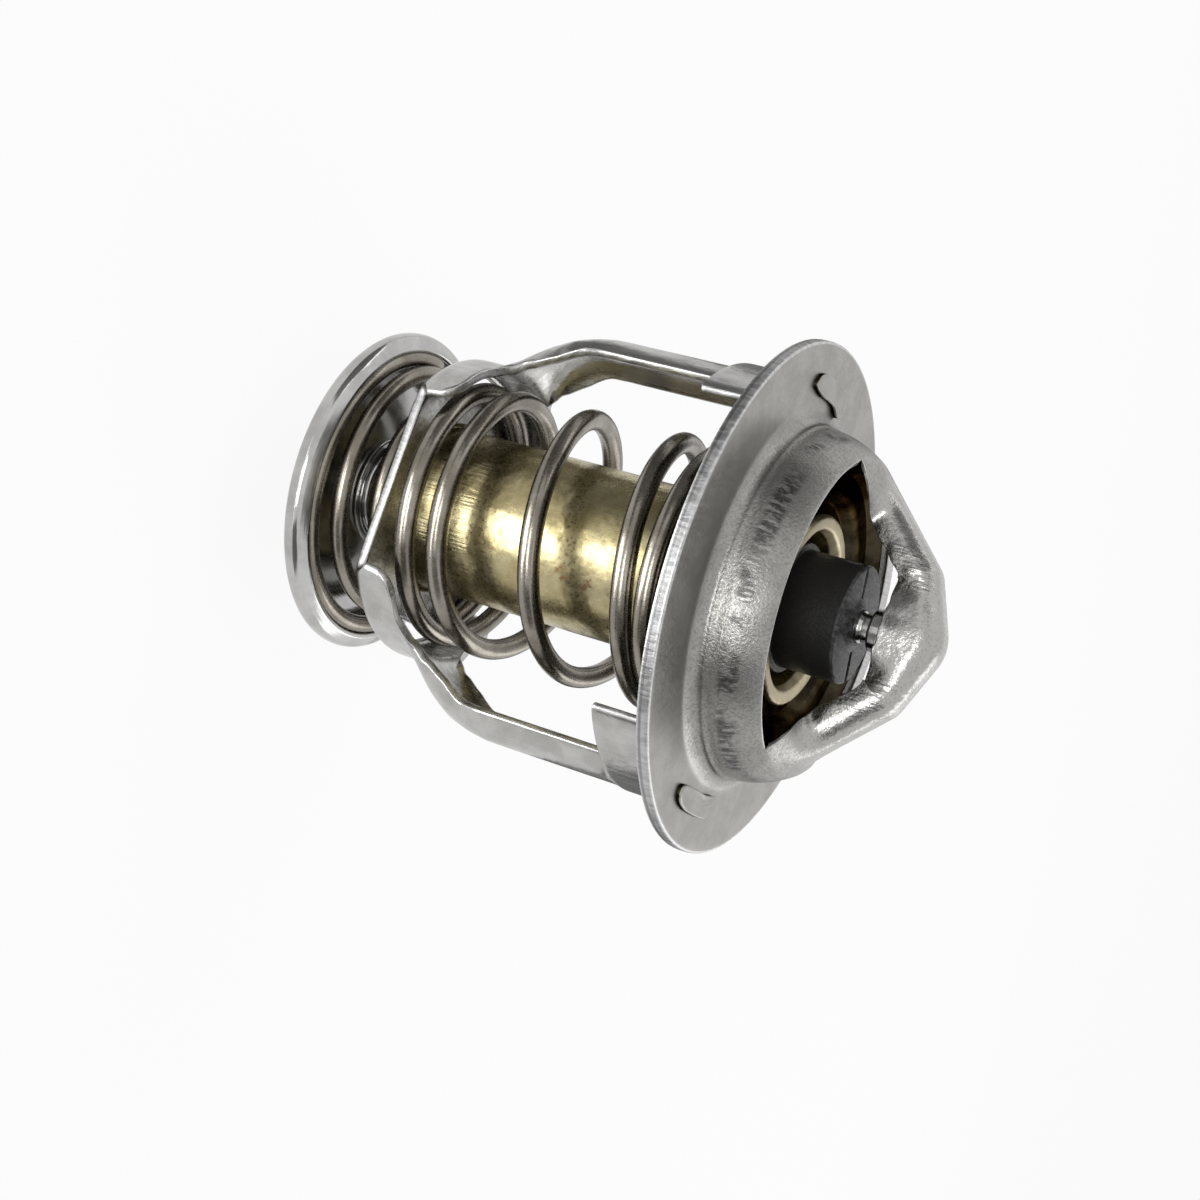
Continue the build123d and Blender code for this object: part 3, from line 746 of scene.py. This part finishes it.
def valve_body():
    """Flange, dome and bridge as one sheet, and the socket under the peak."""
    half_columns, side_columns = 20, 60
    root_half_angle = asin(arm_root_width / 2 / rim_radius)
    edge_share = 0.985
    spread = np.concatenate([[1.0], np.linspace(edge_share, -edge_share, 2 * half_columns - 1), [-1.0]])
    arm_angles = pi / 2 - spread * root_half_angle
    side_angles = np.linspace(arm_angles[-1], 3 * pi / 2 - root_half_angle, side_columns + 1)
    half_turn = np.concatenate([arm_angles, side_angles[1:-1]])
    angles = np.concatenate([half_turn, half_turn + pi])
    outside, side, inside = ring_section()
    edge = np.concatenate([outside[-1:], side, inside[:1]])
    grids = []
    for section, number in ((outside, 0), (edge, 1), (inside, 0)):
        grids.append((on_turn(section[:, :1], angles, section[:, 1:]), True, number))
    rows = 121
    outer_face = bridge_grid(spread, rows, 0.0, outside[0, 0])
    inner_face = bridge_grid(spread, rows, sheet, inside[-1, 0])
    grids += [(outer_face, False, 0), (inner_face, False, 0)]
    for column in (0, -1):
        grids.append((bridged(outer_face[:, column], inner_face[:, column]), False, 1))
    for window in (side_angles, side_angles + pi):
        rim = [on_turn(corner[0], window, corner[1]) for corner in (outside[0], inside[-1])]
        grids.append((bridged(*rim), False, 1))
    points, faces, numbers = join_grids(grids)
    piece = add_piece("valve_body_sheet", points, faces, [steel_pressed, steel_edge])
    piece.data.polygons.foreach_set("material_index", numbers)
    close_seams(piece, 0.01)
    subdivided(piece)
    stands_for(piece, "valve_body", "root")
    hole = pin_tip_radius + 0.03
    corners = [
        (hole, socket_mouth_height),
        (socket_radius, socket_mouth_height),
        (socket_radius, bridge_height - sheet),
        (hole, bridge_height - sheet),
    ]
    socket = lathe("bridge_socket", rounded(corners, [0.2, 0.35, 0, 0]), steel_polished, 96)
    stands_for(socket, "valve_body", "root")


valve_body()


# Frame: cup, two legs with feet, and the staked heads on the flange


def cup_floor():
    """Underside of the cup's floor: round hole, straight sides and the line of each opening."""
    bend_start = cup_radius - cup_bend
    chord_corner = acos(cup_chord / bend_start)
    opening_corner = asin(segment_start / bend_start)
    quarter = np.concatenate(
        [
            np.linspace(0, chord_corner, 13)[:-1],
            np.linspace(chord_corner, opening_corner, 9)[:-1],
            np.linspace(opening_corner, pi / 2, 9),
        ]
    )
    half_turn = np.concatenate([quarter, pi - quarter[-2::-1]])
    angles = np.concatenate([half_turn, half_turn[1:-1] + pi])
    outer = np.minimum(cup_chord / np.maximum(np.abs(np.cos(angles)), 0.001), bend_start)
    outer = np.minimum(outer, segment_start / np.maximum(np.abs(np.sin(angles)), 0.001))
    shares = np.array([0.0, 0.04, 0.35, 0.7, 0.96, 1.0])[:, None]
    radius = capsule_hole * (1 - shares) + outer[None] * shares
    return on_turn(radius, angles, cup_underside)


def leg_grids():
    """Outer faces of the cup's wall, leg, neck and foot on the +Y side."""
    bend_start = cup_radius - cup_bend
    inner_share = (pi / 2 - asin(segment_start / bend_start)) / asin(cup_chord / bend_start)
    neck_share = asin(neck_half_width / gutter_radius) / asin(leg_half_width / gutter_radius)
    half_leg = np.concatenate([np.linspace(0, neck_share, 6), np.linspace(neck_share, 1, 12)[1:]])
    leg_spread = np.concatenate([-half_leg[:0:-1], half_leg])
    outer = np.linspace(inner_share, 1, 9)[1:]
    spread = np.concatenate([-outer[::-1], leg_spread * inner_share, outer])

    # Cup wall: bend, then the wall up to the rim
    turns = np.linspace(0, pi / 2, 8)
    bend_heights = cup_underside + cup_bend * (1 - np.cos(turns))
    bend = np.stack([bend_start + cup_bend * np.sin(turns), bend_heights], axis=1)
    wall_heights = np.linspace(cup_underside + cup_bend, cup_rim, 12)[1:]
    profile = np.concatenate([bend, np.stack([np.full(11, cup_radius), wall_heights], axis=1)])
    reach_x = np.interp(profile[:, 1] - cup_underside, cup_end_heights, cup_end_reaches)
    reach_angle = np.arcsin(reach_x / profile[:, 0])
    root_angle = np.linspace(inner_share * reach_angle[0], asin(cup_root_half / cup_radius), len(profile))
    angles = np.array(
        [
            np.interp(spread, [-1, -inner_share, inner_share, 1], [-end, -root, root, end])
            for end, root in zip(reach_angle, root_angle)
        ]
    )
    wall = on_turn(profile[:, :1], angles, profile[:, 1:])[..., [Y, X, Z]]

    # Leg: crest, gutter radius and half width change over its height
    climb_to_shoulder = leg_shoulder - cup_rim
    leg_top = -foot_height - notch_height
    upper = np.linspace(leg_shoulder, leg_top, 18)
    heights = np.concatenate([cup_rim + climb_to_shoulder * np.linspace(0, 1, 34), upper[1:]])
    stations = cup_rim + climb_to_shoulder * np.array(leg_height_shares)
    even = np.linspace(cup_rim, leg_top, 400)
    window = 14
    crest = eased(np.interp(even, stations, leg_crest_shares), window)
    radius_shares = [cup_radius / gutter_radius, *leg_gutter_shares]
    radius = gutter_radius * eased(np.interp(even, stations, radius_shares), 5)
    width = eased(np.interp(even, stations, leg_half_widths), window)
    crest = cup_radius + (leg_crest - cup_radius) * np.interp(heights, even, crest - crest[0])
    radius = np.interp(heights, even, radius)
    radius[0] = cup_radius
    crest[0] = cup_radius
    width = np.interp(heights, even, width)
    fillet = np.clip(1 - (heights - cup_rim) / leg_root_fillet, 0, 1)
    width += (cup_root_half - width[0]) * (1 - np.sqrt(1 - fillet**2))
    turn = np.arcsin(np.clip(width / radius, 0, 0.98))[:, None] * leg_spread[None]
    leg = np.zeros((len(heights), len(leg_spread), 3))
    leg[..., 0] = radius[:, None] * np.sin(turn)
    leg[..., 1] = crest[:, None] - radius[:, None] * (1 - np.cos(turn))
    leg[..., 2] = heights[:, None]

    # Neck between the relief notches, then the foot round the flange's axis
    neck_columns = slice(len(half_leg) - 6, len(half_leg) + 5)
    neck_bottom = leg[-1, neck_columns]
    foot_turn = np.arcsin(neck_bottom[:, 0] / leg_crest)
    neck_top = on_turn(leg_crest, foot_turn, -foot_height)[:, [Y, X, Z]]
    rise = np.linspace(0, 1, 4)[:, None, None]
    neck = neck_bottom[None] * (1 - rise) + neck_top[None] * rise
    wing = np.linspace(asin(neck_half_width / leg_crest), radians(foot_angle), 14)[1:]
    foot_angles = np.concatenate([-wing[::-1], foot_turn, wing])
    foot_heights = [-foot_height, 0.15 - foot_height, *np.linspace(1 - foot_height, -0.4, 5), -0.01]
    foot = on_turn(leg_crest, foot_angles, np.array(foot_heights)[:, None])[..., [Y, X, Z]]
    return [wall, leg, neck, foot]


def smooth_loop(corners, steps=6):
    """A closed smooth curve through corners."""
    corners = np.array(corners, float)
    share = np.linspace(0, 1, steps, endpoint=False)[:, None]
    points = []
    for number in range(len(corners)):
        before, start, end, after = (corners[(number + step) % len(corners)] for step in (-1, 0, 1, 2))
        points.append(
            start
            + share * (end - before) / 2
            + share**2 * (before - 2.5 * start + 2 * end - after / 2)
            + share**3 * (1.5 * (start - end) + (after - before) / 2)
        )
    return np.concatenate(points)


def staked_head(name, corners):
    """A low pad hammered flat on the flange, inside a smooth line through corners."""
    edge = smooth_loop(corners)
    middle = edge.mean(axis=0)
    shares = np.array([1.0, 1.0, 0.97, 0.9, 0.78, 0.6, 0.35, 0.0])[:, None]
    levels = np.array([-0.04, 0.72, 0.95, 1.0, 0.96, 0.92, 0.9, 0.88])[:, None]
    flat = middle + shares[..., None] * (edge - middle)
    hammered = creases(flat[..., X], flat[..., Y]) * 0.12 * (levels > 0.8)
    height = flange_thickness + head_height * np.minimum(levels + hammered, 1.0)
    points = np.concatenate([flat, height[..., None]], axis=2)
    faces = grid_faces(len(shares), len(edge), closed=True)
    piece = add_piece(name, points, faces, [steel_pressed, steel_painted_shade])
    # The pad's side wall takes the near-black steel, a painted shadow groove round its edge
    painted_shadow_sides = [int(number < len(edge)) for number in range(len(faces))]
    piece.data.polygons.foreach_set("material_index", painted_shadow_sides)
    close_seams(piece)
    subdivided(piece)
    stands_for(piece, "frame", "root")


def support_frame():
    """Cup and legs as one sheet, and the two staked heads."""
    grids = [(cup_floor(), True, 0)]
    for side in (1, -1):
        grids += [(grid * np.array([side, side, 1]), False, 0) for grid in leg_grids()]
    points, faces, _ = join_grids(grids)
    piece = add_piece("frame_sheet", points, faces, [steel_frame, steel_edge])
    close_seams(piece, 0.02)
    solid = piece.modifiers.new("sheet", "SOLIDIFY")
    solid.thickness = frame_sheet * MM
    solid.offset = -1
    solid.use_even_offset = True
    solid.material_offset_rim = 1
    subdivided(piece)
    stands_for(piece, "frame", "root")
    bean = [(8.6, -22.6), (8.6, -21.6), (6.4, -21.3), (4.2, -21.5), (2.2, -21.5), (0.7, -21.0)]
    bean += [(-0.4, -21.0), (-1.4, -21.7), (-1.2, -22.8), (-1.0, -23.7), (0.0, -24.1), (3.0, -24.0)]
    bean += [(6.0, -23.8), (7.6, -23.4)]
    flat_ended = [(8.2, 21.5), (8.8, 22.4), (8.2, 23.3), (6.4, 23.9), (4.5, 24.1), (1.8, 24.2)]
    flat_ended += [(-0.2, 24.1), (-0.9, 23.5), (-0.4, 22.8), (-1.5, 22.3), (-1.6, 21.7), (-0.8, 21.5)]
    flat_ended += [(1.6, 21.7), (4.7, 21.5)]
    staked_head("head_minus", bean)
    staked_head("head_plus", flat_ended)


support_frame()


# Wax element


def capsule():
    """Brass cup with its spring rib, crimp groove and flared lip."""
    inner = capsule_radius - capsule_wall
    rib_low, rib_high = rib_height - rib_radius, rib_height + rib_radius
    crimp_low, crimp_high = crimp_height - crimp_radius, crimp_height + crimp_radius
    corners = [
        (0, capsule_bottom),
        (capsule_radius, capsule_bottom),
        (capsule_radius, rib_low),
        (capsule_radius + rib_radius, rib_low),
        (capsule_radius + rib_radius, rib_high),
        (capsule_radius, rib_high),
        (capsule_radius, crimp_low),
        (capsule_radius - crimp_radius, crimp_height),
        (capsule_radius, crimp_high),
        (capsule_radius, lip_underside),
        (lip_radius, lip_underside),
        (lip_radius, lip_height),
        (lip_mouth_radius, lip_height),
        (inner, lip_underside),
        (inner, crimp_high),
        (inner - crimp_radius, crimp_height),
        (inner, crimp_low),
        (inner, capsule_bottom + capsule_wall),
        (0, capsule_bottom + capsule_wall),
    ]
    radii = [0, 0.9, 0.08, 0.29, 0.29, 0.08, 0.2, 0.3, 0.2, 0.15, 0.45, 0.45]
    radii += [0.5, 0.7, 0.2, 0.2, 0.2, 0.3, 0]
    piece = lathe("capsule_cup", rounded(corners, radii), brass)
    stands_for(piece, "capsule", "element")


def guide():
    """Black bush round the pin, with a slot across its face and a raised collar."""
    flange_fit = capsule_radius - capsule_wall - 0.05
    slot_floor = guide_top - guide_slot_depth
    corners = [
        (bore_radius, guide_bottom),
        (flange_fit, guide_bottom),
        (flange_fit, guide_flange_top),
        (guide_step_radius, guide_flange_top),
        (guide_step_radius, guide_step_top),
        (guide_radius, guide_step_top),
        (guide_radius, guide_top),
        (guide_collar_radius, guide_top),
        (bore_radius + 0.35, guide_top + 0.4),
        (bore_radius, guide_top + 0.4),
    ]
    outline = rounded(corners, [0, 0.1, 0.1, 0.15, 0.2, 0.15, 0.3, 0.3, 0.1, 0.05])
    piece = lathe("guide_bush", outline, plastic_black, 192)
    cutters = []
    for half_turn in (0, 180):
        across = Matrix.Rotation(radians(guide_slot_angle + half_turn), 4, "Z")
        cutter = bpy.data.objects.new("slot_cutter", bpy.data.meshes.new("slot_cutter"))
        near, far, half = guide_collar_radius, guide_radius + 1, guide_slot_width / 2
        corners = []
        for height in (slot_floor, guide_top + 1):
            for run, side in ((near, -half), (far, -half), (far, half), (near, half)):
                corners.append(across @ Vector((run, side, height)) * MM)
        faces = [(3, 2, 1, 0), (4, 5, 6, 7), (0, 1, 5, 4), (1, 2, 6, 5), (2, 3, 7, 6), (3, 0, 4, 7)]
        cutter.data.from_pydata(corners, [], faces)
        bpy.context.scene.collection.objects.link(cutter)
        cut = piece.modifiers.new("slot", "BOOLEAN")
        cut.operation = "DIFFERENCE"
        cut.solver = "EXACT"
        cut.object = cutter
        cutters.append(cutter)
    apply_modifiers(piece)
    for cutter in cutters:
        bpy.data.objects.remove(cutter)
    piece.data.set_sharp_from_angle(angle=radians(35))
    stands_for(piece, "guide", "element")


def pin():
    """Steel pin with a narrower tip."""
    bottom, top = depth("pin", Z), reach("pin", Z)
    shoulder = top - pin_tip_length
    corners = [
        (0, bottom),
        (pin_radius, bottom),
        (pin_radius, shoulder),
        (pin_tip_radius, shoulder + 0.3),
        (pin_tip_radius, top),
        (0, top),
    ]
    piece = lathe("pin_rod", rounded(corners, [0, 0.3, 0.3, 0.15, 0.1, 0]), steel_polished, 96)
    stands_for(piece, "pin", "root")


def main_valve():
    """Pressed plate held under the capsule's lip."""
    hub_underside = lip_underside - valve_sheet
    rim_underside = reach("main_valve", Z) - valve_sheet
    path = rounded(
        [
            (capsule_radius + 0.05, hub_underside),
            (valve_hub_radius, hub_underside),
            (valve_seat_inner, valve_spring_seat),
            (valve_seat_outer, valve_spring_seat),
            (valve_radius - valve_sheet / 3, rim_underside),
        ],
        [0, valve_bend + valve_sheet, valve_bend, valve_bend + valve_sheet, 0],
        closed=False,
    )
    outline = sheet_outline(path, valve_sheet)
    outline[:, 0] = np.minimum(outline[:, 0], valve_radius)
    # The plate's near-black colour is painted shade for the dark surroundings it reflects; its brown tint
    # is its own
    stands_for(lathe("valve_plate", outline, steel_painted_shade), "main_valve", "element")


capsule()
guide()
pin()
main_valve()


# Springs


def spring(node, body, travel, wire, radii, rises, start_angle, lead_in, lead_out):
    """A coil spring, and the share of its length that its joint's travel leaves."""
    bottom = depth(node, Z) + wire / 2
    span = reach(node, Z) - wire / 2 - bottom
    heights = bottom + span * np.concatenate([[0.0], np.cumsum(rises)])
    angles = start_angle + 180 * np.arange(len(heights))
    angles = np.concatenate([[angles[0] - lead_in], angles, [angles[-1] + lead_out]])
    radii, heights = (np.pad(values, 1, "edge") for values in (radii, heights))
    piece = coil(f"{node}_wire", angles, radii, heights, wire, steel_wire)
    stands_for(piece, node, body)
    return piece, 1 - travel / (reach(node, Z) - depth(node, Z))


def springs():
    """Main spring on the cup's floor, and conical spring between the capsule's rib and the disc's floor."""
    radii = np.full(len(main_rises) + 1, main_coil_radius)
    shape = (main_wire, radii, main_rises, main_start_angle, 90, 270)
    piece, keep = spring("main_spring", "root", element_travel, *shape)
    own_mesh(piece)
    radii = bypass_large_radius + np.array(bypass_narrowing) * (bypass_small_radius - bypass_large_radius)
    shape = (bypass_wire, radii, bypass_rises, bypass_start_angle, 150, 90)
    piece, keep = spring("bypass_spring", "element", bypass_travel, *shape)
    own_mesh(piece)


springs()


# Bypass valve and its stem


def bypass_valve():
    """Dished disc with a rolled rim and a hub."""
    path = rounded(
        [
            (stem_radius + 0.05, hub_top - disc_sheet),
            (hub_radius - disc_sheet, hub_top - disc_sheet),
            (hub_radius - disc_sheet, disc_underside),
            (disc_radius, disc_underside),
            (disc_radius, disc_rim - disc_rim_curl),
            (disc_lip_radius, disc_rim),
        ],
        [0, hub_bend, hub_bend + disc_sheet, disc_bend, disc_bend, 0],
        closed=False,
        steps=10,
    )
    outline = sheet_outline(path, disc_sheet)
    stands_for(lathe("disc", outline, steel_polished), "bypass_valve", "bypass")


def stem():
    """Rivet-like stem under the capsule, and the washer that holds the disc."""
    bottom = depth("stem", Z)
    neck_top = capsule_bottom - stem_flange_height
    corners = [
        (0, capsule_bottom),
        (stem_foot_radius, capsule_bottom),
        (stem_radius, neck_top),
        (stem_radius, bottom + stem_flange_height),
        (stem_head_radius, bottom + stem_flange_height),
        (stem_radius, bottom),
        (0, bottom),
    ]
    rod = lathe("stem_rod", rounded(corners, [0, 0.1, 0.3, 0.1, 0.2, 0.3, 0]), steel_polished, 96)
    stands_for(rod, "stem", "element")
    low, high = depth("stem_washer", Z), reach("stem_washer", Z)
    hole = stem_radius + 0.02
    corners = [(hole, low), (washer_radius, low), (washer_radius, high), (hole, high)]
    washer = lathe("washer", rounded(corners, [0.1, 0.15, 0.15, 0.1]), steel_polished, 96)
    stands_for(washer, "stem_washer", "element")


bypass_valve()
stem()


# Stage: floor, world, soft lights and dark cards that only reflections see


def seen_directly(tree):
    """1 for rays that show the background: from the camera, in reflections and through glass."""
    path = add_node(tree, "ShaderNodeLightPath", {})
    total = path.outputs["Is Camera Ray"]
    for name in ("Is Glossy Ray", "Is Transmission Ray"):
        inputs = {0: total, 1: path.outputs[name]}
        total = add_node(tree, "ShaderNodeMath", inputs, operation="MAXIMUM").outputs[0]
    return total


def blend_shaders(tree, share, first, second, output):
    """Leads the blend of two shaders to an output node."""
    inputs = {"Fac": share, 1: first.outputs[0], 2: second.outputs[0]}
    mix = add_node(tree, "ShaderNodeMixShader", inputs)
    tree.links.new(mix.outputs[0], tree.nodes[output].inputs["Surface"])


def world():
    """White where it is seen, softer where it lights the object."""
    scene_world = bpy.data.worlds.new("studio")
    scene_world.use_nodes = True
    tree = scene_world.node_tree
    light = tree.nodes["Background"]
    light.inputs["Color"].default_value = white
    light.inputs["Strength"].default_value = 0.6
    seen = add_node(tree, "ShaderNodeBackground", {"Color": white, "Strength": 1.0})
    blend_shaders(tree, seen_directly(tree), light, seen, "World Output")
    bpy.context.scene.world = scene_world


def flat_sheet(name, low, high, material):
    """A flat stage sheet between two corners in metres, level or upright across Y."""
    corners = [low, (high[X], low[Y], low[Z]), high, (low[X], high[Y], high[Z])]
    mesh = bpy.data.meshes.new(name)
    mesh.from_pydata(corners, [], [(0, 1, 2, 3)])
    mesh.materials.append(material)
    sheet_object = bpy.data.objects.new(name, mesh)
    bpy.context.scene.collection.objects.link(sheet_object)
    return sheet_object


def floor():
    """White floor below the disc's lowest place that still takes the object's shadow."""
    material = bpy.data.materials.new("floor_white")
    material.use_nodes = True
    tree = material.node_tree
    tree.nodes.remove(tree.nodes["Principled BSDF"])
    matt = add_node(tree, "ShaderNodeBsdfDiffuse", {"Color": (0.92, 0.92, 0.92, 1)})
    glow = add_node(tree, "ShaderNodeEmission", {"Color": white, "Strength": 1.0})
    share = add_node(tree, "ShaderNodeMath", {0: seen_directly(tree), 1: 0.9}, operation="MULTIPLY")
    blend_shaders(tree, share.outputs[0], matt, glow, "Material Output")
    side, gap = 6.0, 0.2
    level = (disc_underside - element_travel - gap) * MM
    flat_sheet("floor", (-side, -side, level), (side, side, level), material)


def grey_card(name, low, high, shade):
    """A flat grey card that shows in reflections alone."""
    material = bpy.data.materials.new(name)
    material.use_nodes = True
    shader = material.node_tree.nodes["Principled BSDF"]
    shader.inputs["Base Color"].default_value = (shade, shade, shade, 1)
    shader.inputs["Roughness"].default_value = 0.9
    card = flat_sheet(name, low, high, material)
    card.visible_camera = False
    card.visible_diffuse = False
    card.visible_shadow = False


def soft_box(name, place, target, width, height, radiance):
    """A rectangular light that faces a target."""
    lamp = bpy.data.lights.new(name, "AREA")
    lamp.shape = "RECTANGLE"
    lamp.size = width
    lamp.size_y = height
    lamp.energy = radiance * pi * width * height
    light = bpy.data.objects.new(name, lamp)
    bpy.context.scene.collection.objects.link(light)
    facing = Vector(target) - Vector(place)
    light.matrix_world = Matrix.Translation(place) @ facing.to_track_quat("-Z", "Y").to_matrix().to_4x4()
    light.visible_camera = False
    return light


white = (1, 1, 1, 1)
world()
floor()

# Places and sizes on the stage are in metres
stage_level = disc_underside * MM
card_level = stage_level + 0.0006
wall_top = 0.35
lamps = {
    "low_light": ((0.063, 0.012, stage_level + 0.001), (0.063, 0.012, 1.0), 0.06, 0.035, 7.0),
    "front_light": ((0.43, 0.12, 0.07), (0, 0, 0), 0.24, 0.1, 8.0),
    "top_light": ((0.05, -0.45, 0.25), (0, 0, -0.01), 0.3, 0.3, 2.0),
    "back_light": ((-0.4, 0.2, 0.3), (0, 0, -0.01), 0.3, 0.3, 1.5),
}
cards = {
    "rear_floor_card": ((-0.35, -0.36, card_level), (-0.06, 0.36, card_level), 0.2),
    "upper_floor_card": ((-0.02, -0.36, card_level), (0.35, -0.04, card_level), 0.2),
    "lower_floor_card": ((0.05, 0.08, card_level), (0.3, 0.2, card_level), 0.15),
    "upper_wall_card": ((-0.05, -0.37, stage_level), (0.4, -0.37, wall_top), 0.2),
    "lower_wall_card": ((0.08, 0.37, stage_level), (0.4, 0.37, wall_top), 0.2),
}
for name, setting in lamps.items():
    soft_box(name, *setting)
for name, setting in cards.items():
    grey_card(name, *setting)


def camera():
    """The photograph's viewpoint."""
    right = Vector((-0.36723, -0.32371, 0.87198))
    up = Vector((0.21653, -0.94148, -0.25832))
    back = right.cross(up)
    place = Vector((0.19849, 0.02568, 0.07359))
    lens = bpy.data.cameras.new("photo_camera")
    lens.lens = 59.92
    lens.sensor_width = 36.0
    view = bpy.data.objects.new("photo_camera", lens)
    bpy.context.scene.collection.objects.link(view)
    view.matrix_world = Matrix((right, up, back)).transposed().to_4x4()
    view.location = place
    bpy.context.scene.camera = view


camera()
bpy.context.scene.view_settings.view_transform = "Standard"
